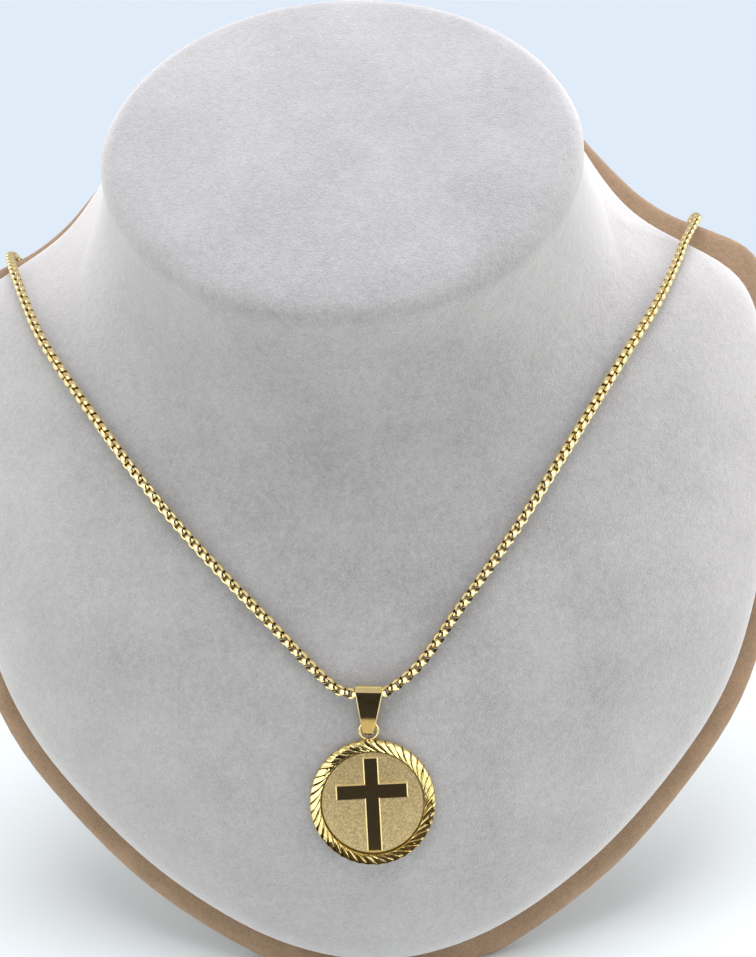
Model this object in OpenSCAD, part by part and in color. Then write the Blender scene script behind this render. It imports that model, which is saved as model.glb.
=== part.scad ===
// Gold cross necklace shown on a velvet neck bust.
// Board coordinates: x to the right, v up along the board, h out from its front.

/* [Bust] */
// Angle that the board leans back from upright, in degrees
lean = 20; // [15:1:25]
// Thickness of the suede back board, with a fully rounded edge
board_t = 6; // [4:0.5:6.5]
// Width of the suede rim that shows round the velvet
rim_w = 5.2; // [4.5:0.1:6.5]
// Extra width of the rim at both shoulders
rim_more = 1.5; // [1.2:0.1:2.2]
// How much more the right shoulder's rim has, and the left one's lacks
rim_skew = 2; // [1.6:0.1:2.2]
// Height of the board's datum over the floor
foot_drop = 101; // [100:0.5:102]
// Height that the chest's dome adds over its edge
dome_h = 22; // [18:0.5:23]
// Distance over which the dome rises from its edge
dome_reach = 28; // [22:1:36]
// Half width of the neck
neck_a = 50.7; // [46:0.1:52]
// Half depth of the neck, along its cut face
neck_b = 42.5; // [40:0.5:45]
// Tilt of the neck's cut face from the board, in degrees
neck_tilt = 12; // [8:1:16]
// Height of the cut face's centre over the board
neck_h = 42; // [38:0.5:44]
// Rounding of the cut face's edge
neck_round = 4; // [2:0.5:6]

/* [Easel leg] */
// Width of the leg at its foot
leg_w = 46; // [30:1:60]
// Width of the leg at its top
leg_top_w = 30; // [20:1:46]
// Thickness of the leg
leg_t = 4; // [3:0.5:6]
// Distance of the leg's foot behind the board's datum
leg_reach = 62; // [50:1:75]

/* [Chain] */
// Width of the round box chain
chain_w = 2.2; // [1.8:0.1:2.2]
// Gap between the chain and the velvet that it lies on
chain_gap = 0.35; // [0.35:0.05:0.5]
// Length of the whole necklace, with its clasp
necklace_l = 508; // [500:1:516]
// Length of the barrel clasp
clasp_l = 12; // [8:1:16]
// Width of the barrel clasp
clasp_w = 3.6; // [3:0.2:5]

/* [Pendant] */
// Diameter of the medallion over its rim
medal_d = 25.5; // [25:0.5:27]
// Thickness of the rim
rim_t = 1.6; // [1.5:0.1:2]
// Diameter of the disc inside the rim
disc_d = 20.8; // [19.6:0.2:21.6]
// Number of slanted cuts round the rim
flutes = 42; // [36:2:46]
// Slant of each cut from the radius, in degrees
flute_slant = 58; // [50:1:60]
// Height of the cross
cross_h = 19; // [16:0.2:19.4]
// Width of the cross over its arms
cross_w = 14.6; // [12:0.2:15]
// Width of the cross's bars
bar_w = 3.1; // [2.6:0.1:3.2]
// Outside diameter of the soldered loop
loop_d = 4.15; // [4.1:0.05:4.6]
// Wire thickness of the loop
loop_wire = 0.45; // [0.4:0.05:0.5]
// Width of the bail at its top
bail_w = 5.65; // [5:0.05:5.75]
// Height of the bail
bail_h = 10; // [9.9:0.1:10.2]
// Sheet thickness of the bail
bail_t = 0.35; // [0.3:0.05:0.4]

/* [Hidden] */

velvet_colour = [0.76, 0.75, 0.77];
suede_colour = [0.66, 0.53, 0.40];
gold_colour = [0.93, 0.74, 0.35];

// Right half of the board's outline, [x, v], from its top to its foot
board_half = [[0, 109], [22.5, 107.5], [43, 101], [56, 91.5], [62.3, 82.8],
              [67.3, 76.1], [73.3, 69.1], [81, 63.1], [90, 58.7], [98, 53.8],
              [102.5, 45.5], [103.5, 33], [102.5, 14], [99.5, -10.5], [93, -35],
              [84, -55], [70.5, -72], [51.5, -90], [28.5, -104.5],
              [12, -110], [0, -111.5]];
half_n = len(board_half);
board_points = [for (p = board_half) p,
                for (i = [half_n - 2:-1:1]) [-board_half[i][0], board_half[i][1]]];

// Place of the neck's centre, up the board
neck_v = 62.5;
neck_plan_b = neck_b * cos(neck_tilt);
// Chest profile near its edge: a short wall, then a quarter round
edge_wall = 1.2;
edge_round = 3.2;
edge_run = 3.5;
// Share of the neck's height that the fillet round it takes, its reach at the
// sides, and the more that it reaches down the front
fillet_share = 0.85;
fillet_side = 7;
fillet_front = 7;
// Least distance from the neck's foot to the velvet's edge
neck_margin = 2;
// Gap between the velvet form and the board that it is glued on
seat_gap = 0.1;

// Catmull-Rom curve between the second and third of four points
function spline(a, b, c, d, t) =
    0.5 * (2 * b + (c - a) * t + (2 * a - 5 * b + 4 * c - d) * t * t
    + (3 * b - a - 3 * c + d) * t * t * t);
function closed_curve(p, k) = let (n = len(p))
    [for (i = [0:n - 1], j = [0:k - 1])
        spline(p[(i + n - 1) % n], p[i], p[(i + 1) % n], p[(i + 2) % n], j / k)];
function open_curve(p, k) = let (n = len(p))
    [for (i = [0:n - 2], j = [0:k - 1])
        spline(p[max(i - 1, 0)], p[i], p[i + 1], p[min(i + 2, n - 1)], j / k),
     p[n - 1]];
// The same closed curve, moved inwards by d[i] along its normals
function inset(c, d) = let (n = len(c))
    [for (i = [0:n - 1])
        let (t = c[(i + 1) % n] - c[(i + n - 1) % n])
        c[i] + d[i] * [t[1], -t[0]] / norm(t)];

board_outline = closed_curve(board_points, 4);
// Heights up the board where the shoulders' wider rim starts and is full, and
// the distance to either side at which the full skew counts
shoulder_low = 20;
shoulder_high = 60;
shoulder_x = 85;
function rim_at(p) =
    rim_w + (rim_more + rim_skew * p[0] / shoulder_x)
    * max(0, min(1, (p[1] - shoulder_low) / (shoulder_high - shoulder_low)));
velvet_outline = inset(board_outline, [for (p = board_outline) rim_at(p)]);
// Angle round the neck's centre, from straight down at -90 to 270
function full_angle(x, v) = x >= 0 ? atan2(v, x) : 180 - atan2(v, -x);
// That angle against the distance to the velvet's edge
edge_table = [for (p = velvet_outline, turn = [-360, 0, 360])
    [full_angle(p[0], p[1] - neck_v) + turn, norm([p[0], p[1] - neck_v])]];

function edge_r(a) = lookup(a, edge_table);
// Shortest distance from a point to the velvet's edge
function edge_gap(x, v) = let (n = len(velvet_outline))
    min([for (i = [0:n - 1])
        let (a = velvet_outline[i], ab = velvet_outline[(i + 1) % n] - a,
             q = [x, v] - a, t = max(0, min(1, q * ab / (ab * ab))))
        norm(q - t * ab)]);
function neck_r(a) = 1 / norm([cos(a) / neck_a, sin(a) / neck_plan_b]);
function base_r(a) = min(neck_r(a), edge_r(a) - neck_margin);
function chest(r, a) =
    let (e = edge_gap(r * cos(a), neck_v + r * sin(a)), s = 1 - min(e, edge_run) / edge_run)
    edge_wall + edge_round * sqrt(1 - s * s) + dome_h * (1 - exp(-e / dome_reach));
function wall_top(a) = neck_h - neck_round - neck_r(a) * sin(a) * tan(neck_tilt);
// Height of the velvet at distance r and angle a round the neck
function velvet_h(r, a) =
    let (base = base_r(a))
    chest(r, a) + fillet_share * (wall_top(a) - chest(base, a))
    * exp(-max(r - base, 0) / (fillet_side + fillet_front * max(0, -sin(a))));
function velvet_at(x, v) = velvet_h(norm([x, v - neck_v]), full_angle(x, v - neck_v));

function middle(p, i = 0) = i == len(p) ? [0, 0, 0] : p[i] / len(p) + middle(p, i + 1);
// Solid through a list of closed rings with equal numbers of points, closed at
// each end by a fan round the ring's middle
module skin(rings) {
    n = len(rings[0]);
    m = len(rings);
    points = [for (r = rings) each r, middle(rings[0]), middle(rings[m - 1])];
    faces = [for (j = [0:m - 2], i = [0:n - 1])
                 let (a = j * n + i, b = j * n + (i + 1) % n)
                 each [[b + n, b, a], [a + n, b + n, a]],
             for (i = [0:n - 1]) let (a = i, b = (i + 1) % n, last = (m - 1) * n)
                 each [[m * n, a, b], [m * n + 1, last + b, last + a]]];
    polyhedron(points, faces);
}

// Foremost point of the medallion, and the shift that centres the depth
front_y = -46.5;
stand_y = -(leg_reach + leg_t + front_y) / 2;

module on_board() {
    translate([0, stand_y, foot_drop]) rotate([90 - lean, 0, 0]) children();
}

// Point of the neck's wall or face: angle, in-plane scale, offset along its normal
function face_point(a, k, off) =
    let (x = neck_r(a) * cos(a) * k, y = neck_r(a) * sin(a) * k / cos(neck_tilt))
    [x, neck_v + y * cos(neck_tilt) + off * sin(neck_tilt),
     neck_h - y * sin(neck_tilt) + off * cos(neck_tilt)];

form_sides = 80;
form_rings = 20;
wall_rings = 4;
round_rings = 4;
// Scales of the rings across the cut face
face_scales = [0.6, 0.3, 0.05];
function form_angle(i) = 360 * i / form_sides;

module bust_form() {
    chest_rings = [for (j = [0:form_rings])
        let (s = (1 - cos(180 * j / form_rings)) / 2)
        [for (i = [0:form_sides - 1])
            let (a = form_angle(i), r = edge_r(a) - (edge_r(a) - base_r(a)) * s)
            [r * cos(a), neck_v + r * sin(a), velvet_h(r, a)]]];
    neck_wall = [for (j = [1:wall_rings])
        let (s = j / wall_rings)
        [for (i = [0:form_sides - 1])
            let (a = form_angle(i), r = base_r(a),
                 low = [r * cos(a), neck_v + r * sin(a), velvet_h(r, a)],
                 high = face_point(a, 1, -neck_round))
            low + (high - low) * s]];
    lip = [for (j = [1:round_rings])
        let (q = 90 * j / round_rings, k = 1 - neck_round / neck_b * (1 - cos(q)))
        [for (i = [0:form_sides - 1])
            face_point(form_angle(i), k, -neck_round * (1 - sin(q)))]];
    face = [for (k = face_scales)
        [for (i = [0:form_sides - 1]) face_point(form_angle(i), k, 0)]];
    foot = [[for (p = chest_rings[0]) [p[0], p[1], seat_gap]]];
    color(velvet_colour) on_board()
        skin(concat(foot, chest_rings, neck_wall, lip, face));
}

// The outline is kept above the floor's plane, which cuts the foot flat
function on_foot(p, h) =
    [p[0], max(p[1], (-foot_drop - h * sin(lean)) / cos(lean)), h];

module back_board() {
    r = board_t / 2;
    color(suede_colour) on_board()
        skin([for (q = [90:-22.5:-90])
            let (h = r * sin(q) - r,
                 all_round = [for (p = board_outline) r * (1 - cos(q))])
            [for (p = inset(board_outline, all_round)) on_foot(p, h)]]);
}

// Board point in the upright frame: [distance back, height]
function upright(v, h) =
    [v * sin(lean) - h * cos(lean), foot_drop + v * cos(lean) + h * sin(lean)];
leg_top_v = 2;
leg_low_v = -10;

module easel_leg() {
    seat_h = -board_t - seat_gap;
    high = upright(leg_top_v, seat_h);
    low = upright(leg_low_v, seat_h);
    side = [low, high, [leg_reach + leg_t, 0], [leg_reach, 0]];
    color(suede_colour) translate([0, stand_y, 0]) intersection() {
        rotate([90, 0, 90]) translate([0, 0, -leg_w / 2])
            linear_extrude(leg_w) polygon(side);
        rotate([90, 0, 0]) translate([0, 0, -2 * leg_reach])
            linear_extrude(4 * leg_reach)
            polygon([[-leg_w / 2, 0], [leg_w / 2, 0],
                     [leg_top_w / 2, high[1]], [-leg_top_w / 2, high[1]]]);
    }
}

// Pendant frame: its centre over the velvet, and its tilt to the board
pendant_x = -0.2;
pendant_v = -69.8;
pendant_lift = 0.95;
pendant_h = velvet_at(pendant_x, pendant_v) + pendant_lift;
pendant_tilt = 11.5;
// Heights of the bail's roll and of the loop over the medallion's centre
bail_y = 22;
loop_y = 14.4;
// Places of the roll and the loop to the right of that centre, and the bail's swing
bail_x = 0.4;
loop_x = -0.1;
bail_swing = 3.9;
// Gap between the disc and the rim that holds it
disc_gap = 0.1;

module on_pendant() {
    on_board() translate([pendant_x, pendant_v, pendant_h])
        rotate([pendant_tilt, 0, 0]) children();
}

// Chain's route over the velvet, [x, v], from each shoulder to the bail
left_route = [[-81.2, 54], [-78.5, 49.2], [-75, 42.5], [-68.5, 30.5], [-57, 13.5],
              [-44, -4.5], [-33, -18], [-19.5, -33], [-8, -45.5]];
right_route = [[79, 51.5], [75.5, 45.3], [67.5, 32.5], [58, 19.5],
               [44, 0], [32, -16.5], [19.5, -32], [10.5, -43]];
// Route round the rounded edge of the board, [x, v, h]
rim_route = [[84.6, 59.5, 2.8], [85.5, 61.3, 0.6], [86, 62.6, -3],
             [85.3, 61.1, -6.5], [83.3, 57.3, -8]];
// Hidden stretch: it hangs free behind the board between two points [x, v, h]
hang_from = [81.5, 56.5, -8];
hang_x = [70, 54, 37, 20];
// Chain's place at the bail, and its rise to either side of it
bail_point = [pendant_x + bail_x, pendant_v + bail_y * cos(pendant_tilt),
              pendant_h + bail_y * sin(pendant_tilt)];
bail_side = [3.2, 0.25, 0];
clasp_play = 0.2;
// Half of the step over which the velvet's slope is measured
slope_step = 0.5;
// Least and greatest sag that are tried, and how often the range is halved
sag_low = 15;
sag_high = 60;
sag_halvings = 10;

function flip(p) = [-p[0], p[1], p[2]];
function swung(p) = [p[0], p[1] - p[0] * sin(bail_swing), p[2]];
function over_velvet(p) =
    let (x = p[0], v = p[1],
         rise_x = velvet_at(x + slope_step, v) - velvet_at(x - slope_step, v),
         rise_v = velvet_at(x, v + slope_step) - velvet_at(x, v - slope_step))
    [x, v, velvet_at(x, v) + (chain_w / 2 + chain_gap)
        * norm([rise_x, rise_v, 2 * slope_step]) / (2 * slope_step)];
function hang(x, sag) = let (s = sag * (1 - pow(x / hang_from[0], 2)))
    [x, hang_from[1] - s * cos(lean), hang_from[2] - s * sin(lean)];
// From the clasp to the velvet's edge, on the right
function hidden(sag) =
    [hang(0, sag) + [clasp_l / 2 + clasp_play, 0, 0],
     for (i = [len(hang_x) - 1:-1:0]) hang(hang_x[i], sag),
     for (i = [len(rim_route) - 1:-1:0]) rim_route[i]];
shown = [for (p = left_route) over_velvet(p),
         bail_point + swung(flip(bail_side)), bail_point, bail_point + swung(bail_side),
         for (i = [len(right_route) - 1:-1:0]) over_velvet(right_route[i])];
function chain_path(sag) = let (h = hidden(sag), n = len(h))
    open_curve([for (p = h) flip(p), each shown, for (i = [n - 1:-1:0]) h[i]], 2);
function path_length(p, i = 1) =
    i == len(p) ? 0 : norm(p[i] - p[i - 1]) + path_length(p, i + 1);
// Sag that gives the necklace its length, by halving its range n times
function find_sag(low, high, n) = let (mid = (low + high) / 2)
    n == 0 ? mid
    : path_length(chain_path(mid)) + clasp_l > necklace_l
      ? find_sag(low, mid, n - 1) : find_sag(mid, high, n - 1);
sag = find_sag(sag_low, sag_high, sag_halvings);

module chain() {
    path = chain_path(sag);
    n = len(path);
    sides = 8;
    // A direction steeper than this is squared up from v instead of h
    steep = 0.9;
    color(gold_colour) on_board() skin([for (i = [0:n - 1])
        let (t = path[min(i + 1, n - 1)] - path[max(i - 1, 0)],
             along = t / norm(t),
             out = abs(along[2]) > steep ? [0, 1, 0] : [0, 0, 1],
             side = cross(along, out) / norm(cross(along, out)),
             up = cross(side, along))
        [for (k = [0:sides - 1])
            path[i] + chain_w / 2 * (side * cos(360 * k / sides)
                                     - up * sin(360 * k / sides))]]);
}

module clasp() {
    r = clasp_w / 2;
    l = clasp_l / 2;
    // Radius and length of the end rings, and the length to the barrel's full width
    ring_r = 0.6 * r;
    ring_l = 1;
    taper_l = 2.4;
    color(gold_colour) on_board() translate(hang(0, sag)) rotate([0, 90, 0])
        rotate_extrude($fn = 48)
            polygon([[0, -l], [ring_r, -l], [ring_r, ring_l - l], [r, taper_l - l],
                     [r, l - taper_l], [ring_r, l - ring_l], [ring_r, l], [0, l]]);
}

// Outline round two circles and the straight sides between them, along x
module drop_shape(r1, r2, drop) {
    q = asin((r1 - r2) / drop);
    polygon([for (a = [-q:6:180 + q]) [r1 * sin(a), r1 * cos(a)],
             for (a = [180 + q:10:360 - q]) [r2 * sin(a) - drop, r2 * cos(a)]]);
}

module bail() {
    // Radius inside the roll, round the tip and inside the slot above the tip
    roll = 1.35;
    tip = 0.75;
    slot = 0.4;
    solid_tip = 1.2;
    // Front shape of the bail, [half width as a share of its width, height from its top]
    front = [for (p = [[0.5, 0], [0.44, -2.2], [0.28, -7.1], [0.195, -9.2], [0.1, -bail_h]])
        [p[0] * bail_w, p[1]]];
    top = roll + bail_t;
    // More than the bail's depth
    depth = 10;
    color(gold_colour) on_pendant() translate([bail_x, bail_y, 0])
    rotate([0, 0, -bail_swing]) intersection() {
        rotate([90, 0, 90]) translate([0, 0, -bail_w]) linear_extrude(2 * bail_w)
            difference() {
                drop_shape(top, tip, bail_h - top - tip);
                drop_shape(roll, slot, bail_h - top - solid_tip - slot);
            }
        translate([0, top, -depth / 2]) linear_extrude(depth)
            polygon([for (p = front) p,
                     for (i = [len(front) - 1:-1:0]) [-front[i][0], front[i][1]]]);
    }
}

module medallion_frame() {
    r = medal_d / 2;
    inner = disc_d / 2 + disc_gap;
    w = r - inner;
    back = -rim_t / 2;
    crest = rim_t / 2;
    // Heights of the outer and inner walls, and the size of one V cut
    outer_wall = 0.6 * rim_t;
    inner_wall = 0.6 * rim_t;
    chamfer = 0.15;
    cut = 0.55;
    cut_l = 3.4 * w;
    // Flat crest of the rim, from and to these shares of its width
    crest_from = 0.4;
    crest_to = 0.7;
    color(gold_colour) on_pendant() union() {
        difference() {
            rotate_extrude($fn = 180)
                polygon([[inner, back], [r - chamfer, back], [r, back + chamfer],
                         [r, back + outer_wall], [inner + crest_to * w, crest],
                         [inner + crest_from * w, crest], [inner, back + inner_wall]]);
            for (i = [0:flutes - 1]) rotate([0, 0, 360 * i / flutes])
                translate([inner + w / 2, 0, crest]) rotate([0, 0, flute_slant])
                rotate([45, 0, 0]) cube([cut_l, cut, cut], center = true);
        }
        translate([loop_x, loop_y, 0]) rotate_extrude($fn = 48)
            translate([(loop_d - loop_wire) / 2, 0]) circle(d = loop_wire, $fn = 24);
    }
}

module medallion_disc() {
    back = -rim_t / 2 + 0.1;
    face = 0.1;
    // The cross is two steps, [height over the face, narrowing of its bars]
    steps = [[0.15, 0], [0.27, 0.5]];
    // Height of the cross's middle, and the distance of its arms from its top
    cross_y = -0.2;
    arm_drop = 6.9;
    arm_y = cross_h / 2 - arm_drop;
    color(gold_colour) on_pendant() union() {
        translate([0, 0, back]) cylinder(h = face - back, d = disc_d, $fn = 120);
        translate([0, cross_y, 0]) for (s = steps) linear_extrude(face + s[0]) union() {
            square([bar_w - s[1], cross_h - s[1]], center = true);
            translate([0, arm_y]) square([cross_w - s[1], bar_w - s[1]], center = true);
        }
    }
}

bust_form();
back_board();
easel_leg();
chain();
clasp();
bail();
medallion_frame();
medallion_disc();
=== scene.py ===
from math import asin, atan2, cos, degrees, hypot, pi, radians, sin, tan
import bpy
from mathutils import Matrix, Vector


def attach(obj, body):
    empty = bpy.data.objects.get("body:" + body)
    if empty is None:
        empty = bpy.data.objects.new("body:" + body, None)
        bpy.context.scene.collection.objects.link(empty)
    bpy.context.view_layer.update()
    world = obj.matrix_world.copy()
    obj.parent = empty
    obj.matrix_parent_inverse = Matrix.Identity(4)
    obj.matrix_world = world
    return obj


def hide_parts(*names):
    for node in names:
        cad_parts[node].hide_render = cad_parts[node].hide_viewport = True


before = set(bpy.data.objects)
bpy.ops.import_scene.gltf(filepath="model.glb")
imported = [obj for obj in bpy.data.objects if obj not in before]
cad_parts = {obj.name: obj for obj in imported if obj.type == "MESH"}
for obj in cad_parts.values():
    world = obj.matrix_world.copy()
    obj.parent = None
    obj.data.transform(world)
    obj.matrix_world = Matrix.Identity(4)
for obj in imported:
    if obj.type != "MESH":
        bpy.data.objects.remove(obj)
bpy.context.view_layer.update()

# The board that carries everything leans back 20 degrees from upright.
# Board coordinates, in metres: x to the right, y up along the board, z out of it.
board_lean = radians(20)
board_place = (0, -0.00975, 0.101)
on_board = Matrix.Translation(board_place) @ Matrix.Rotation(radians(90) - board_lean, 4, "X")
to_board = on_board.inverted()
out_of_board = on_board.to_3x3() @ Vector((0, 0, 1))

# The camera looks at the chest from 214 mm away, a little from above, with the
# picture turned slightly. The photograph is 756 by 957, with a lens of 900 pixels.
picture_height = 957
lens_pixels = 900
camera_reach = 0.214
camera_side = 0.0037
view_turn = (Matrix.Rotation(radians(1), 4, "Y") @ Matrix.Rotation(radians(10), 4, "X")
             @ Matrix.Rotation(radians(-2.8), 4, "Z"))
camera_data = bpy.data.cameras.new("camera")
camera_data.sensor_width = 36
camera_data.lens = camera_data.sensor_width * lens_pixels / picture_height
camera_data.clip_start = 0.01
camera_data.clip_end = 20
camera = bpy.data.objects.new("camera", camera_data)
bpy.context.scene.collection.objects.link(camera)
camera.matrix_world = (on_board @ Matrix.Translation((camera_side, 0, 0)) @ view_turn
                       @ Matrix.Translation((0, 0, camera_reach)))
bpy.context.scene.camera = camera


# Back board: a cut board about 6 mm thick, wrapped in tan suede, which turns
# round its edge and is glued down behind, under a lining of the same suede.
# It stands on the flat of its foot.
def alone(piece):
    if bpy.context.mode != "OBJECT":
        bpy.ops.object.mode_set(mode="OBJECT")
    bpy.ops.object.select_all(action="DESELECT")
    piece.select_set(True)
    bpy.context.view_layer.objects.active = piece


def copy_of(node, name):
    """The node's own solid, as one closed mesh of quads that a piece starts from."""
    piece = bpy.data.objects.new(name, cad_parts[node].data.copy())
    bpy.context.scene.collection.objects.link(piece)
    piece.data.materials.clear()
    alone(piece)
    bpy.ops.mesh.customdata_custom_splitnormals_clear()
    bpy.ops.object.mode_set(mode="EDIT")
    bpy.ops.mesh.select_all(action="SELECT")
    bpy.ops.mesh.remove_doubles(threshold=0.000003)
    bpy.ops.mesh.tris_convert_to_quads(face_threshold=radians(30),
                                       shape_threshold=radians(60))
    bpy.ops.object.mode_set(mode="OBJECT")
    return piece


def apply(piece, kind, **settings):
    alone(piece)
    modifier = piece.modifiers.new(kind.title(), kind)
    for name, value in settings.items():
        setattr(modifier, name, value)
    bpy.ops.object.modifier_apply(modifier=modifier.name)


def pick(piece, wanted, kind="vertices"):
    """Leaves the piece in edit mode, with only the wanted vertices or faces selected."""
    alone(piece)
    bpy.ops.object.mode_set(mode="EDIT")
    bpy.ops.mesh.select_mode(type={"vertices": "VERT", "polygons": "FACE"}[kind])
    bpy.ops.mesh.select_all(action="DESELECT")
    bpy.ops.object.mode_set(mode="OBJECT")
    for part in getattr(piece.data, kind):
        part.select = wanted(part)
    bpy.ops.object.mode_set(mode="EDIT")


def put_in_place(piece, place, material, node=None, smooth=None):
    alone(piece)
    piece.matrix_world = place @ piece.matrix_world
    bpy.ops.object.transform_apply(location=True, rotation=True, scale=True)
    piece.data.materials.clear()
    piece.data.materials.append(material)
    if smooth:
        bpy.ops.object.shade_smooth_by_angle(angle=radians(smooth))
    else:
        bpy.ops.object.shade_smooth()
    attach(piece, "root")
    if node:
        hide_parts(node)


def group_with(name, inputs, outputs):
    """A new node group with number sockets, and the nodes that stand for its two ends."""
    group = bpy.data.node_groups.new(name, "ShaderNodeTree")
    for title, value in inputs:
        socket = group.interface.new_socket(title, in_out="INPUT", socket_type="NodeSocketFloat")
        socket.default_value = value
    for title in outputs:
        group.interface.new_socket(title, in_out="OUTPUT", socket_type="NodeSocketFloat")
    return group, group.nodes.new("NodeGroupInput"), group.nodes.new("NodeGroupOutput")


def nap_group():
    """Cloth pile: fine pile and coarser mottle, and over both the marks of brushing."""
    group, inputs, outputs = group_with(
        "nap", (("Pile", 2600), ("Mottle", 700), ("Brush", 90)), ("Tone", "Height"))
    nodes = group.nodes
    links = group.links
    place = nodes.new("ShaderNodeTexCoord")
    noises = {}
    for name, detail in (("Pile", 3), ("Mottle", 2), ("Brush", 3)):
        noise = nodes.new("ShaderNodeTexNoise")
        noise.inputs["Detail"].default_value = detail
        noise.inputs["Roughness"].default_value = 0.6
        links.new(place.outputs["Object"], noise.inputs["Vector"])
        links.new(inputs.outputs[name], noise.inputs["Scale"])
        noises[name] = noise
    pile_and_mottle = nodes.new("ShaderNodeMix")
    pile_and_mottle.inputs["Factor"].default_value = 0.35
    links.new(noises["Pile"].outputs["Fac"], pile_and_mottle.inputs["A"])
    links.new(noises["Mottle"].outputs["Fac"], pile_and_mottle.inputs["B"])
    brushed = nodes.new("ShaderNodeMix")
    brushed.inputs["Factor"].default_value = 0.3
    links.new(pile_and_mottle.outputs["Result"], brushed.inputs["A"])
    links.new(noises["Brush"].outputs["Fac"], brushed.inputs["B"])
    links.new(brushed.outputs["Result"], outputs.inputs["Tone"])
    links.new(pile_and_mottle.outputs["Result"], outputs.inputs["Height"])
    return group


def tones(nodes, dark, light, dark_at, light_at):
    ramp = nodes.new("ShaderNodeValToRGB")
    ramp.color_ramp.elements[0].position = dark_at
    ramp.color_ramp.elements[0].color = (*dark, 1)
    ramp.color_ramp.elements[1].position = light_at
    ramp.color_ramp.elements[1].color = (*light, 1)
    return ramp


nap = nap_group()
pile_depth = 0.0003


def cloth_material(name, dark, light, scales, sheen, sheen_tint, bump):
    material = bpy.data.materials.new(name)
    material.use_nodes = True
    nodes = material.node_tree.nodes
    links = material.node_tree.links
    shader = nodes["Principled BSDF"]
    shader.inputs["Roughness"].default_value = 0.95
    shader.inputs["Specular IOR Level"].default_value = 0.15
    shader.inputs["Sheen Weight"].default_value = sheen
    shader.inputs["Sheen Roughness"].default_value = 0.75
    shader.inputs["Sheen Tint"].default_value = (*sheen_tint, 1)
    pile = nodes.new("ShaderNodeGroup")
    pile.node_tree = nap
    for socket, value in zip(("Pile", "Mottle", "Brush"), scales):
        pile.inputs[socket].default_value = value
    ramp = tones(nodes, dark, light, 0.34, 0.66)
    links.new(pile.outputs["Tone"], ramp.inputs["Fac"])
    links.new(ramp.outputs["Color"], shader.inputs["Base Color"])
    lift = nodes.new("ShaderNodeBump")
    lift.inputs["Strength"].default_value = bump
    lift.inputs["Distance"].default_value = pile_depth
    links.new(pile.outputs["Height"], lift.inputs["Height"])
    links.new(lift.outputs["Normal"], shader.inputs["Normal"])
    return material


suede = cloth_material("tan_suede", (0.21, 0.133, 0.078), (0.37, 0.247, 0.15),
                       (2400, 900, 120), 0.25, (0.9, 0.75, 0.6), 0.5)
as_it_is = Matrix.Identity(4)
lining_margin = 0.009
lining_edge = 0.0004
lining_lift = 0.0005
quite_flat = 0.99999
board = copy_of("back_board", "suede_board")
pick(board, lambda face: face.normal.dot(-out_of_board) > quite_flat, "polygons")
bpy.ops.mesh.inset(thickness=lining_margin, depth=0)
bpy.ops.mesh.inset(thickness=lining_edge, depth=lining_lift)
bpy.ops.object.mode_set(mode="OBJECT")
put_in_place(board, as_it_is, suede, "back_board", smooth=50)


# Easel leg: a tapered board leg in the same suede, with softened edges. A strip
# of suede is glued over its top and the board's back, and holds it there.
leg = copy_of("easel_leg", "suede_leg")
pick(leg, lambda vertex: True)
bpy.ops.mesh.dissolve_limited(angle_limit=radians(2))
bpy.ops.object.mode_set(mode="OBJECT")
apply(leg, "BEVEL", width=0.001, segments=4, limit_method="ANGLE")
put_in_place(leg, as_it_is, suede, "easel_leg", smooth=40)

# The strip's width and its part on the board, and then its way down, in mm: up
# the board and out of it.
strip_size = (0.026, 0.006)
strip_middle = 0.011
strip_thickness = 0.0006
strip_route = [(8, -6.75), (3.7, -6.75), (2.6, -6.85), (1.8, -7.5), (-1.5, -11.4), (-5.3, -16)]
bpy.ops.object.select_all(action="DESELECT")
bpy.ops.mesh.primitive_plane_add(size=1)
strip = bpy.context.object
strip.name = "holding_strip"
strip.scale = (*strip_size, 1)
strip.location = (0, strip_middle, strip_route[0][1] / 1000)
bpy.ops.object.transform_apply(location=True, rotation=True, scale=True)
pick(strip, lambda vertex: vertex.co.y < strip_middle)
for (v0, h0), (v1, h1) in zip(strip_route, strip_route[1:]):
    bpy.ops.mesh.extrude_region_move(
        TRANSFORM_OT_translate={"value": (0, (v1 - v0) / 1000, (h1 - h0) / 1000)})
bpy.ops.object.mode_set(mode="OBJECT")
apply(strip, "SOLIDIFY", thickness=strip_thickness, offset=0)
apply(strip, "BEVEL", width=0.0002, segments=2, limit_method="ANGLE", angle_limit=radians(60))
put_in_place(strip, on_board, suede, smooth=45)


# Velvet bust: a moulded chest and slanted neck under one piece of short-pile
# velvet, pulled smooth and glued to the board. The cloth bridges the fold below
# the neck's cut face in one soft curve.
velvet_cloth = cloth_material("pale_velvet", (0.17, 0.165, 0.162), (0.375, 0.366, 0.361),
                              (2600, 700, 60), 1.0, (1, 0.98, 0.97), 0.8)
velvet = copy_of("bust_form", "velvet_bust")
apply(velvet, "SUBSURF", levels=2, render_levels=2)

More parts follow.
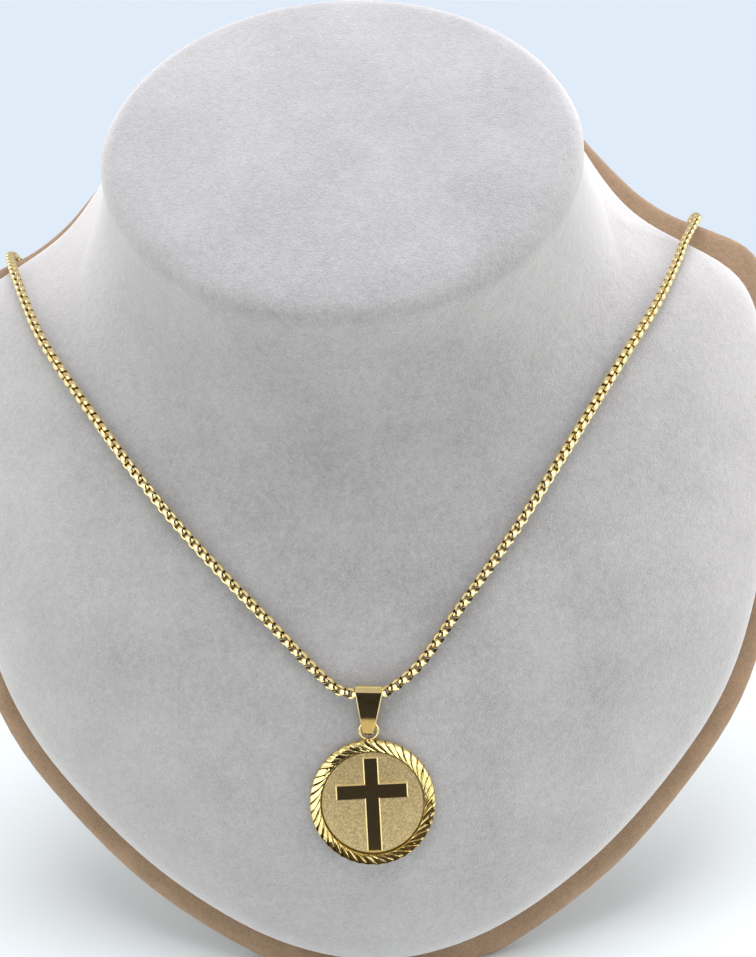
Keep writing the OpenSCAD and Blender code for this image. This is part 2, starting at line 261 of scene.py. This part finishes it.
# The neck in mm, in board coordinates: the place of its middle up the board, its
# half width and depth, and the height and tilt of its cut face. Then how far the
# soft curve reaches down and up from the face's edge, and how much it is lifted.
# It is full below the neck and fades out at the neck's two sides.
neck_middle = 62.5
neck_half = (50.7, 41.6)
face_height = 42
face_tilt = radians(12)
form_back = 20
soft_down = 16
soft_up = 9
soft_lift = 3.5
soft_at_sides = 0.1
soft_growth = 1.6
soft_edge = velvet.vertex_groups.new(name="soft_edge")
for vertex in velvet.data.vertices:
    spot = 1000 * (to_board @ vertex.co)
    up_face = spot.y - neck_middle
    around = atan2(up_face, spot.x)
    neck_edge = 1 / hypot(cos(around) / neck_half[0], sin(around) / neck_half[1])
    off_edge = hypot(spot.x, up_face) - neck_edge
    below = min(1, max(0, soft_at_sides - soft_growth * sin(around)))
    share = below * (1 - (off_edge / soft_down if off_edge > 0 else -off_edge / soft_up))
    if share > 0 and spot.z > form_back:
        soft_edge.add([vertex.index], share, "REPLACE")
        room = max(0, face_height - up_face * tan(face_tilt) - spot.z)
        vertex.co += out_of_board * min(room, soft_lift * share) / 1000
apply(velvet, "SMOOTH", vertex_group="soft_edge", factor=0.7, iterations=800)
put_in_place(velvet, as_it_is, velvet_cloth, "bust_form")


# Chain: a round box chain, 2.2 mm wide and 496 mm long, of 398 broad squarish rings
# of domed wire, each turned a quarter from the last. It lies on the velvet, runs round
# the board's edge and hangs free behind, where its ends meet in the clasp.
def grain_group():
    """Metal: fine grain over a slow waviness."""
    group, inputs, outputs = group_with(
        "metal_grain", (("Grain", 3000), ("Wave", 500)), ("Tone", "Fine", "Wavy"))
    nodes = group.nodes
    links = group.links
    place = nodes.new("ShaderNodeTexCoord")
    fine = nodes.new("ShaderNodeTexNoise")
    fine.inputs["Detail"].default_value = 4
    wave = nodes.new("ShaderNodeTexNoise")
    wave.inputs["Detail"].default_value = 1
    tone = nodes.new("ShaderNodeMix")
    tone.inputs["Factor"].default_value = 0.4
    for noise, scale in ((fine, "Grain"), (wave, "Wave")):
        links.new(place.outputs["Object"], noise.inputs["Vector"])
        links.new(inputs.outputs[scale], noise.inputs["Scale"])
    links.new(fine.outputs["Fac"], tone.inputs["A"])
    links.new(wave.outputs["Fac"], tone.inputs["B"])
    links.new(tone.outputs["Result"], outputs.inputs["Tone"])
    links.new(fine.outputs["Fac"], outputs.inputs["Fine"])
    links.new(wave.outputs["Fac"], outputs.inputs["Wavy"])
    return group


metal_grain = grain_group()
grain_depth = 0.00005
wave_depth = 0.0002


def gold_material(name, dark, light, roughness, scales, bumps, painted_shade=None):
    """Polished or satin gold. A painted-shade colour darkens it where the mesh's painted_shade value is
    high.
    """
    material = bpy.data.materials.new(name)
    material.use_nodes = True
    nodes = material.node_tree.nodes
    links = material.node_tree.links
    shader = nodes["Principled BSDF"]
    shader.inputs["Metallic"].default_value = 1
    grain = nodes.new("ShaderNodeGroup")
    grain.node_tree = metal_grain
    grain.inputs["Grain"].default_value = scales[0]
    grain.inputs["Wave"].default_value = scales[1]
    ramp = tones(nodes, dark, light, 0.38, 0.62)
    links.new(grain.outputs["Tone"], ramp.inputs["Fac"])
    spread = nodes.new("ShaderNodeMapRange")
    spread.inputs["To Min"].default_value = roughness[0]
    spread.inputs["To Max"].default_value = roughness[1]
    links.new(grain.outputs["Tone"], spread.inputs["Value"])
    links.new(spread.outputs["Result"], shader.inputs["Roughness"])
    fine = nodes.new("ShaderNodeBump")
    fine.inputs["Strength"].default_value = bumps[0]
    fine.inputs["Distance"].default_value = grain_depth
    links.new(grain.outputs["Fine"], fine.inputs["Height"])
    wavy = nodes.new("ShaderNodeBump")
    wavy.inputs["Strength"].default_value = bumps[1]
    wavy.inputs["Distance"].default_value = wave_depth
    links.new(grain.outputs["Wavy"], wavy.inputs["Height"])
    links.new(fine.outputs["Normal"], wavy.inputs["Normal"])
    links.new(wavy.outputs["Normal"], shader.inputs["Normal"])
    if not painted_shade:
        links.new(ramp.outputs["Color"], shader.inputs["Base Color"])
        return material
    # Painted shade: a value on the mesh mixes the darker painted-shade colour into the gold.
    depth = nodes.new("ShaderNodeAttribute")
    depth.attribute_name = "painted_shade"
    shade_paint = nodes.new("ShaderNodeMix")
    shade_paint.data_type = "RGBA"
    shade_paint.inputs["B"].default_value = (*painted_shade, 1)
    links.new(depth.outputs["Fac"], shade_paint.inputs["Factor"])
    links.new(ramp.outputs["Color"], shade_paint.inputs["A"])
    links.new(shade_paint.outputs["Result"], shader.inputs["Base Color"])
    return material


gold = gold_material("polished_gold", (0.90, 0.70, 0.30), (0.97, 0.79, 0.38),
                     (0.04, 0.10), (3000, 500), (0.05, 0.03))
# The chain's darker colour is painted shade, where its links meet and pass through each other.
chain_gold = gold_material("chain_gold", (0.93, 0.73, 0.33), (1.0, 0.84, 0.46),
                           (0.08, 0.16), (3000, 900), (0.06, 0.1), painted_shade=(0.25, 0.17, 0.06))

# The route in board coordinates, in mm: the two strands on the velvet from the
# shoulder down, the turn round the board's edge, and the places across the back
# from which the hidden stretch hangs.
chain_width = 0.0022
chain_gap = 0.0002
chain_sag = 0.0388
left_strand = [(-81.2, 54), (-78.5, 49.2), (-75, 42.5), (-68.5, 30.5), (-57, 13.5),
               (-44, -4.5), (-33, -18), (-19.5, -33), (-8, -45.5)]
right_strand = [(79, 51.5), (75.5, 45.3), (67.5, 32.5), (58, 19.5),
                (44, 0), (32, -16.5), (19.5, -32), (10.5, -43)]
round_edge = [(84.6, 59.5, 2.8), (85.5, 61.3, 0.6), (86, 62.6, -3),
              (85.3, 61.1, -6.5), (83.3, 57.3, -8)]
hang_from = Vector((81.5, 56.5, -8)) / 1000
hang_at = [70, 54, 37, 20]
beside_clasp = Vector((0.0062, 0, 0))
high_over = 0.2
steepest = 0.3


def on_velvet(x, y, lift):
    """The place that is the given height over the velvet, at x and y on the board."""
    start = on_board @ Vector((x, y, high_over))
    _, place, normal, _ = velvet.ray_cast(start, -out_of_board)
    return to_board @ place + Vector((0, 0, lift / max(normal.dot(out_of_board), steepest)))


def hanging(x):
    drop = chain_sag * (1 - (x / hang_from.x) ** 2)
    return Vector((x, hang_from.y - drop * cos(board_lean), hang_from.z - drop * sin(board_lean)))


def smooth_path(points, steps):
    path = []
    for i in range(len(points) - 1):
        a = points[max(i - 1, 0)]
        b = points[i]
        c = points[i + 1]
        d = points[min(i + 2, len(points) - 1)]
        for k in range(steps):
            t = k / steps
            path.append(0.5 * (2 * b + (c - a) * t + (2 * a - 5 * b + 4 * c - d) * t * t
                               + (3 * b - a - 3 * c + d) * t ** 3))
    return path + [points[-1]]


def even_places(path, count):
    lengths = [0]
    for a, b in zip(path, path[1:]):
        lengths.append(lengths[-1] + (b - a).length)
    places = []
    k = 0
    for i in range(count):
        want = lengths[-1] * (i + 0.5) / count
        while lengths[k + 1] < want:
            k += 1
        share = (want - lengths[k]) / (lengths[k + 1] - lengths[k])
        places.append(path[k].lerp(path[k + 1], share))
    return places


# The pendant's middle lies just over the velvet, and the chain runs through the
# bail 22 mm up from it.
bail_tilt = radians(11.5)
bail_up = 0.022
bail_side = 0.0004
pendant_side = -0.0002
pendant_low = -0.0698
pendant_lift = 0.00095
pendant_centre = Vector((pendant_side, pendant_low, on_velvet(0, pendant_low, 0).z + pendant_lift))
chain_in_bail = pendant_centre + Vector((bail_side, bail_up * cos(bail_tilt), bail_up * sin(bail_tilt)))
beside_bail = Vector((0.0032, 0.00025, 0))
chain_rest = chain_width / 2 + chain_gap
left_shown = [on_velvet(x / 1000, y / 1000, chain_rest) for x, y in left_strand]
right_shown = [on_velvet(x / 1000, y / 1000, chain_rest) for x, y in right_strand]
right_hidden = [hanging(0) + beside_clasp]
right_hidden += [hanging(x / 1000) for x in reversed(hang_at)]
right_hidden += [Vector(p) / 1000 for p in reversed(round_edge)]
left_hidden = [Vector((-p.x, p.y, p.z)) for p in right_hidden]
in_bail = [chain_in_bail + Vector((-beside_bail.x, beside_bail.y, 0)), chain_in_bail,
           chain_in_bail + beside_bail]
route = left_hidden + left_shown + in_bail + right_shown[::-1] + right_hidden[::-1]
link_count = 398
places = even_places(smooth_path(route, 12), link_count)


# The smallest circle that closes a turned piece's end, in mm.
pinhole = 0.01


def turned(name, profile, sides, turns=None):
    """A round piece, drawn up ring by ring from a circle: radius and height in mm."""
    first = max(profile[0][0], pinhole)
    bpy.ops.object.select_all(action="DESELECT")
    bpy.ops.mesh.primitive_circle_add(vertices=sides, radius=first / 1000,
                                      location=(0, 0, profile[0][1] / 1000))
    piece = bpy.context.object
    piece.name = name
    bpy.ops.object.transform_apply(location=True, rotation=True, scale=True)
    bpy.ops.object.mode_set(mode="EDIT")
    bpy.ops.mesh.select_all(action="SELECT")
    before = first
    height = profile[0][1]
    for k, (radius, level) in enumerate(profile[1:]):
        radius = max(radius, pinhole)
        bpy.ops.mesh.extrude_region_move(
            TRANSFORM_OT_translate={"value": (0, 0, (level - height) / 1000)})
        bpy.ops.transform.resize(value=(radius / before, radius / before, 1),
                                 center_override=(0, 0, 0))
        if turns:
            bpy.ops.transform.rotate(value=radians(turns[k]), orient_axis="Z",
                                     center_override=(0, 0, 0))
        before = radius
        height = level
    bpy.ops.mesh.select_all(action="SELECT")
    bpy.ops.mesh.remove_doubles(threshold=0.00003)
    bpy.ops.mesh.normals_make_consistent(inside=False)
    bpy.ops.object.mode_set(mode="OBJECT")
    return piece


# One link, round its own axis: bore, rounded ends and a domed outside. Its four
# corners are drawn out, and its inside and the middle of each face get painted shade.
link_profile = [(0.62, -0.52), (0.62, 0.52), (0.92, 0.58), (1.07, 0.24), (1.07, -0.24),
                (0.92, -0.58), (0.62, -0.52)]
link_sides = 12
link_corner = 1.09
link_spread = (1.08, 1.07, 1)
shade_reach = 0.85
shade_fade = 0.2
shade_most = 0.8
link = turned("chain_links", link_profile, link_sides)
pick(link, lambda vertex: True)
bpy.ops.transform.rotate(value=pi / link_sides, orient_axis="Z", center_override=(0, 0, 0))
bpy.ops.object.mode_set(mode="OBJECT")
pick(link, lambda vertex: abs(abs(vertex.co.x) - abs(vertex.co.y)) < 0.00002)
bpy.ops.transform.resize(value=(link_corner, link_corner, 1), center_override=(0, 0, 0))
bpy.ops.mesh.select_all(action="SELECT")
bpy.ops.transform.resize(value=link_spread, center_override=(0, 0, 0))
bpy.ops.object.mode_set(mode="OBJECT")
# Painted shade: the link's inside gets full shade, and its faces get some near the chain's line, where
# the next links pass.
painted_shade = link.data.attributes.new("painted_shade", "FLOAT", "POINT")
for vertex in link.data.vertices:
    from_line = hypot(vertex.co.y, vertex.co.z) * 1000
    inside = hypot(vertex.co.x, vertex.co.y) * 1000 < shade_reach
    shade = min(shade_most, max(0, (shade_reach - from_line) / shade_fade))
    painted_shade.data[vertex.index].value = 1 if inside else shade

# The links start face-up in the bail and keep that side out along the route.
middle = min(range(link_count), key=lambda i: (places[i] - chain_in_bail).length)
outward = {middle: Vector((0, 0, 1))}
for step in (1, -1):
    i = middle
    while 0 <= i + step < link_count:
        along = (places[min(i + step + 1, link_count - 1)] - places[max(i + step - 1, 0)]).normalized()
        up = outward[i] - along * outward[i].dot(along)
        outward[i + step] = up.normalized()
        i += step

# How the chain is twisted about its own line: share of its length, and degrees.
chain_turns = [(0, 46), (0.33, 46), (0.37, 6), (0.42, 15), (0.6, 15), (0.66, 46), (1, 46)]


def chain_twist(i):
    share = i / link_count
    for (s0, t0), (s1, t1) in zip(chain_turns, chain_turns[1:]):
        if share <= s1:
            return radians(t0 + (t1 - t0) * (share - s0) / (s1 - s0))


links = []
for i, spot in enumerate(places):
    along = (places[min(i + 1, link_count - 1)] - places[max(i - 1, 0)]).normalized()
    up = outward[i] - along * outward[i].dot(along)
    up = Matrix.Rotation(chain_twist(i) + (pi / 2) * (i % 2), 3, along) @ up.normalized()
    side = up.cross(along)
    turn = Matrix((along, side, up)).transposed().to_4x4()
    one = bpy.data.objects.new("link", link.data.copy())
    bpy.context.scene.collection.objects.link(one)
    one.matrix_world = Matrix.Translation(spot) @ turn
    links.append(one)
bpy.data.objects.remove(link)
alone(links[0])
for one in links:
    one.select_set(True)
bpy.ops.object.join()
chain = bpy.context.object
chain.name = "chain_links"
put_in_place(chain, on_board, chain_gold, "chain", smooth=50)


# Clasp: a plain gold-coloured barrel that screws together, with turned grooves and
# a ring at each end. It hangs behind the board, where the chain's two ends meet.
clasp_profile = [(0.0, -6), (0.7, -6), (1.08, -5.7), (1.08, -5.1), (0.9, -4.9), (1.2, -4.3),
                 (1.65, -3.7), (1.8, -3.3), (1.8, -1.0), (1.6, -0.8), (1.8, -0.6), (1.8, 0.0),
                 (1.6, 0.2), (1.8, 0.4), (1.8, 3.3), (1.65, 3.7), (1.2, 4.3), (0.9, 4.9),
                 (1.08, 5.1), (1.08, 5.7), (0.7, 6), (0.0, 6)]
clasp = turned("barrel_clasp", clasp_profile, 40)
lie_across = Matrix.Rotation(radians(90), 4, "Y")
put_in_place(clasp, on_board @ Matrix.Translation(hanging(0)) @ lie_across, gold,
             "clasp", smooth=35)


# Bail: one strip of polished sheet, 0.35 mm thick, tapered, bent round the chain
# and closed in a narrow tip that holds the medallion's loop.
on_pendant = (on_board @ Matrix.Translation(pendant_centre)
              @ Matrix.Rotation(bail_tilt, 4, "X"))
bail_sheet = 0.00035
bail_edge = 0.0003
bail_top = 1.7
bail_tip = 0.75
bail_height = 10.05
bail_bow = 0.32
bail_swing = radians(-3.9)
bail_drop = bail_height - bail_top - bail_tip
bail_widths = [(0, 5.6), (1.2, 5.5), (2.2, 5.0), (7.1, 3.2), (9.0, 2.4), (9.6, 2.0), (10.05, 1.0)]


def bail_width(depth):
    for (d0, w0), (d1, w1) in zip(bail_widths, bail_widths[1:]):
        if depth <= d1:
            return w0 + (w1 - w0) * (depth - d0) / (d1 - d0)
    return bail_widths[-1][1]


def bend(radius, up, start, sweep, steps):
    angles = [start + sweep * k / steps for k in range(steps + 1)]
    return [(radius * cos(a), radius * sin(a) + up) for a in angles]


def straight(start, end, bow=0):
    points = []
    steps = 8
    for k in range(1, steps):
        t = k / steps
        out = bow * sin(pi * t ** 1.25)
        points.append((start[0] + (end[0] - start[0]) * t + out,
                       start[1] + (end[1] - start[1]) * t))
    return points


lean_in = asin((bail_top - bail_tip) / bail_drop)
top_bend = bend(bail_top, 0, -lean_in, pi + 2 * lean_in, 24)
tip_bend = bend(bail_tip, -bail_drop, pi + lean_in, pi - 2 * lean_in, 12)
bail_line = (top_bend + straight(top_bend[-1], tip_bend[0])
             + tip_bend + straight(tip_bend[-1], top_bend[0], bail_bow))
bpy.ops.object.select_all(action="DESELECT")
bpy.ops.mesh.primitive_cylinder_add(vertices=len(bail_line), radius=0.001, depth=0.002,
                                    end_fill_type="NOTHING")
bail = bpy.context.object
bail.name = "bail_sheet"
for k, vertex in enumerate(bail.data.vertices):
    z, y = bail_line[k // 2]
    half = bail_width(bail_top - y) / 2
    vertex.co = Vector((half if k % 2 else -half, y, z)) / 1000
pick(bail, lambda vertex: True)
bpy.ops.mesh.normals_make_consistent(inside=False)
bpy.ops.object.mode_set(mode="OBJECT")
apply(bail, "SOLIDIFY", thickness=bail_sheet, offset=-1)
apply(bail, "BEVEL", width=bail_edge, segments=1, limit_method="ANGLE", angle_limit=radians(50),
      offset_type="OFFSET")
hang_bail = Matrix.Translation((bail_side, bail_up, 0)) @ Matrix.Rotation(bail_swing, 4, "Z")
put_in_place(bail, on_pendant @ hang_bail, gold, "bail", smooth=25)


# Medallion frame: a rim 25.5 mm across with 42 slanted cuts all round, each a broad
# hollow face with a steep back, and a round wire loop soldered on its top.
# The rim's darker colour is painted shade in the hollows of its cuts.
rim_gold = gold_material("cut_gold", (0.90, 0.71, 0.28), (0.98, 0.83, 0.36),
                         (0.05, 0.12), (3000, 700), (0.06, 0.5), painted_shade=(0.16, 0.10, 0.04))
rim_profile = [(10.5, -0.8), (10.5, 0.4), (10.56, 0.6), (10.7, 0.7), (11.0, 0.75), (11.4, 0.76),
               (11.8, 0.72), (12.15, 0.63), (12.45, 0.47), (12.65, 0.22), (12.75, -0.1),
               (12.75, -0.62), (12.6, -0.8), (10.5, -0.8)]
rim_inner = 10.5
rim_outer = 12.75

# The cuts: how they slant from the inner to the outer edge, which of the profile's
# rings they cross, how deep each of the nine places across one is, and how much painted shade it gets.
flutes = 42
flute_sides = 9
flute_slants = (72, 35)
flute_dip = [0.13, 0.26, 0.24, 0.21, 0.175, 0.135, 0.09, 0.045, 0]
flute_shade = [0.7, 1, 0.35, 0, 0, 0, 0, 0, 0.1]
first_cut_share = 0.5
wall_cut_share = 0.5
cut_rings = range(2, 11)
wall_rings = (9, 10)
rim_turns = [0]
for ring in range(1, len(rim_profile)):
    near, far = rim_profile[ring - 1][0], rim_profile[ring][0]
    share = (far - rim_inner) / (rim_outer - rim_inner)
    slant = radians(flute_slants[0] + (flute_slants[1] - flute_slants[0]) * share)
    turn = degrees(tan(slant) * 2 * (far - near) / (far + near))
    rim_turns.append(turn if ring in cut_rings else 0)
rim = turned("fluted_rim", rim_profile, flutes * flute_sides, [-t for t in rim_turns[1:]])


def place_in_flute(vertex, ring):
    """How far round its cut a vertex of a ring is, from 0 to 8, or None elsewhere."""
    radius, level = rim_profile[ring]
    near_ring = 0.02
    if abs(hypot(vertex.co.x, vertex.co.y) * 1000 - radius) > near_ring:
        return None
    if abs(vertex.co.z * 1000 - level) > near_ring:
        return None
    turn = degrees(atan2(vertex.co.y, vertex.co.x)) - sum(rim_turns[:ring + 1])
    return round(turn / 360 * flutes * flute_sides) % flute_sides


# Painted shade: the places at the steep back of each cut get a dark colour.
shade_paint = rim.data.attributes.new("painted_shade", "FLOAT", "POINT")
for vertex in rim.data.vertices:
    for ring in cut_rings:
        side = place_in_flute(vertex, ring)
        if side is not None:
            shade_paint.data[vertex.index].value = flute_shade[side]

for ring in cut_rings:
    share = first_cut_share if ring == cut_rings[0] else 1
    for side, dip in enumerate(flute_dip):
        if not dip:
            continue
        pick(rim, lambda vertex: place_in_flute(vertex, ring) == side)
        if ring in wall_rings:
            inward = 1 - wall_cut_share * dip / rim_profile[ring][0]
            bpy.ops.transform.resize(value=(inward, inward, 1), center_override=(0, 0, 0))
        else:
            bpy.ops.transform.translate(value=(0, 0, -dip * share / 1000))
put_in_place(rim, on_pendant, rim_gold, "medallion_frame", smooth=50)

loop_radius = 0.00185
loop_wire = 0.00025
loop_up = 0.0146
solder_up = 0.01268
bpy.ops.object.select_all(action="DESELECT")
bpy.ops.mesh.primitive_torus_add(major_segments=48, minor_segments=16, major_radius=loop_radius,
                                 minor_radius=loop_wire, location=(0, loop_up, 0))
loop = bpy.context.object
loop.name = "soldered_loop"
put_in_place(loop, on_pendant, gold)
solder = turned("solder", [(0.0, -0.55), (0.3, -0.5), (0.42, -0.25), (0.36, 0), (0.42, 0.25),
                           (0.3, 0.5), (0.0, 0.55)], 16)
across_rim = Matrix.Translation((0, solder_up, 0)) @ Matrix.Rotation(radians(90), 4, "Y")
put_in_place(solder, on_pendant @ across_rim, gold)


# Medallion disc: satin sheet with a thin polished edge, set into the rim, with a
# raised plain cross, polished on top and bevelled all round.
satin = gold_material("satin_gold", (0.63, 0.48, 0.23), (0.97, 0.79, 0.42),
                      (0.38, 0.55), (5000, 2000), (1.0, 0.2))
disc = turned("satin_disc", [(0.0, -0.7), (10.1, -0.7), (10.2, -0.6), (10.2, 0.06), (10.12, 0.13),
                             (10.0, 0.13), (9.9, 0.1), (0.0, 0.1)], 160)
put_in_place(disc, on_pendant, satin, "medallion_disc", smooth=35)

# The cross in mm, from the disc's middle: the width of its bars, the height of its
# arms, and how far each end reaches. Then its height and bevel, in metres.
bar = 3.1
arms_up = 2.6
cross_ends = {(0, 1): 9.5, (0, -1): 9.6, (1, 0): 7.25, (-1, 0): 7.3}
cross_wall = 0.00012
bevel_width = 0.00025
bevel_height = 0.00014
hair = 0.00001
bpy.ops.object.select_all(action="DESELECT")
bpy.ops.mesh.primitive_plane_add(size=bar / 1000, location=(0, arms_up / 1000, 0.0001))
cross = bpy.context.object
cross.name = "polished_cross"
bpy.ops.object.transform_apply(location=True, rotation=True, scale=True)
for (x, y), reach in cross_ends.items():

    def at_side(vertex, x=x, y=y):
        up_bar = vertex.co.y - arms_up / 1000
        across = vertex.co.x * x + up_bar * y
        beside = vertex.co.x * y + up_bar * x
        return across > bar / 2000 - hair and abs(beside) < bar / 2000 + hair

    pick(cross, at_side)
    shift = (reach - bar / 2 - arms_up * y) / 1000
    bpy.ops.mesh.extrude_region_move(TRANSFORM_OT_translate={"value": (x * shift, y * shift, 0)})
    bpy.ops.object.mode_set(mode="OBJECT")
pick(cross, lambda vertex: True)
bpy.ops.mesh.extrude_region_move(TRANSFORM_OT_translate={"value": (0, 0, cross_wall)})
bpy.ops.mesh.inset(thickness=bevel_width, depth=bevel_height)
bpy.ops.mesh.select_all(action="SELECT")
bpy.ops.mesh.normals_make_consistent(inside=False)
bpy.ops.object.mode_set(mode="OBJECT")
cross_shift = Matrix.Translation((0, -0.0002, 0))
put_in_place(cross, on_pendant @ cross_shift, gold, smooth=20)


# Floor and light: a plain pale floor under a pale sky, soft lights above, beside and
# low in front, and two large soft gleams that only metal mirrors. Dark and brown
# cards that only mirrors see are painted reflection: the dim front of the room in the polished gold.
bpy.ops.object.select_all(action="DESELECT")
bpy.ops.mesh.primitive_plane_add(size=4)
floor = bpy.context.object
floor.name = "floor"
floor_paint = bpy.data.materials.new("pale_floor")
floor_paint.use_nodes = True
floor_shader = floor_paint.node_tree.nodes["Principled BSDF"]
floor_shader.inputs["Base Color"].default_value = (0.77, 0.82, 0.82, 1)
floor_shader.inputs["Roughness"].default_value = 0.8
floor.data.materials.append(floor_paint)


def card(name, place, size, tilt, far, near):
    """A matt card that only mirrors show, a painted reflection, with its colour fading from far to
    near.
    """
    paint = bpy.data.materials.new(name)
    paint.use_nodes = True
    nodes = paint.node_tree.nodes
    links = paint.node_tree.links
    shader = nodes["Principled BSDF"]
    shader.inputs["Specular IOR Level"].default_value = 0
    spot = nodes.new("ShaderNodeTexCoord")
    split = nodes.new("ShaderNodeSeparateXYZ")
    fade = tones(nodes, far, near, 0.1, 0.55)
    fade.color_ramp.interpolation = "EASE"
    links.new(spot.outputs["UV"], split.inputs["Vector"])
    links.new(split.outputs["Y"], fade.inputs["Fac"])
    links.new(fade.outputs["Color"], shader.inputs["Base Color"])
    bpy.ops.mesh.primitive_plane_add(size=1, location=place, rotation=(radians(tilt), 0, 0))
    sheet = bpy.context.object
    sheet.name = name
    sheet.scale = (*size, 1)
    sheet.data.materials.append(paint)
    sheet.visible_camera = False
    sheet.visible_shadow = False
    sheet.visible_diffuse = False


dark = (0.03, 0.028, 0.028)
brown = (0.06, 0.045, 0.035)
pale_brown = (0.45, 0.41, 0.3)
card("far_card", (0, -0.31, 0.002), (0.14, 0.28), 0, dark, dark)
card("middle_card", (0, -0.145, 0.002), (0.08, 0.05), 0, dark, pale_brown)
card("near_card", (0, -0.085, 0.002), (0.12, 0.07), 0, brown, brown)
card("front_card", (0, -0.45, 0.19), (0.27, 0.38), 90, dark, dark)

light_aim = Vector((0, 0, 0.1))


def soft_light(name, place, size, power, colour, on_metal):
    data = bpy.data.lights.new(name, "AREA")
    data.shape = "RECTANGLE"
    data.size = size[0]
    data.size_y = size[1]
    data.energy = power
    data.color = colour
    light = bpy.data.objects.new(name, data)
    bpy.context.scene.collection.objects.link(light)
    light.location = place
    light.visible_glossy = on_metal
    light.visible_diffuse = not on_metal
    light.rotation_euler = (light_aim - Vector(place)).to_track_quat("-Z", "Y").to_euler()


soft_light("top_light", (0.05, -0.05, 0.75), (0.7, 0.5), 5.5, (0.96, 0.94, 1), False)
soft_light("side_light", (0.7, -0.05, 0.12), (0.4, 0.3), 0.8, (1, 0.97, 0.9), False)
soft_light("low_left_light", (-0.35, -0.15, 0.01), (0.3, 0.3), 0.45, (1, 0.78, 0.4), False)
soft_light("low_right_light", (0.35, -0.15, 0.01), (0.3, 0.3), 0.5, (1, 0.78, 0.5), False)
soft_light("left_gleam", (-0.5, -0.45, 0.25), (0.8, 0.8), 2.7, (1, 0.98, 0.97), True)
soft_light("right_gleam", (0.5, -0.45, 0.25), (0.8, 0.8), 3, (1, 0.98, 0.97), True)

world = bpy.data.worlds.new("pale_sky")
world.use_nodes = True
sky = world.node_tree
way = sky.nodes.new("ShaderNodeTexCoord")
split = sky.nodes.new("ShaderNodeSeparateXYZ")
sky_ramp = tones(sky.nodes, (0.75, 0.84, 0.95), (0.6, 0.58, 0.58), 0.35, 0.75)
sky.links.new(way.outputs["Generated"], split.inputs["Vector"])
sky.links.new(split.outputs["Z"], sky_ramp.inputs["Fac"])
sky.links.new(sky_ramp.outputs["Color"], sky.nodes["Background"].inputs["Color"])
bpy.context.scene.world = world
bpy.context.scene.view_settings.view_transform = "Standard"
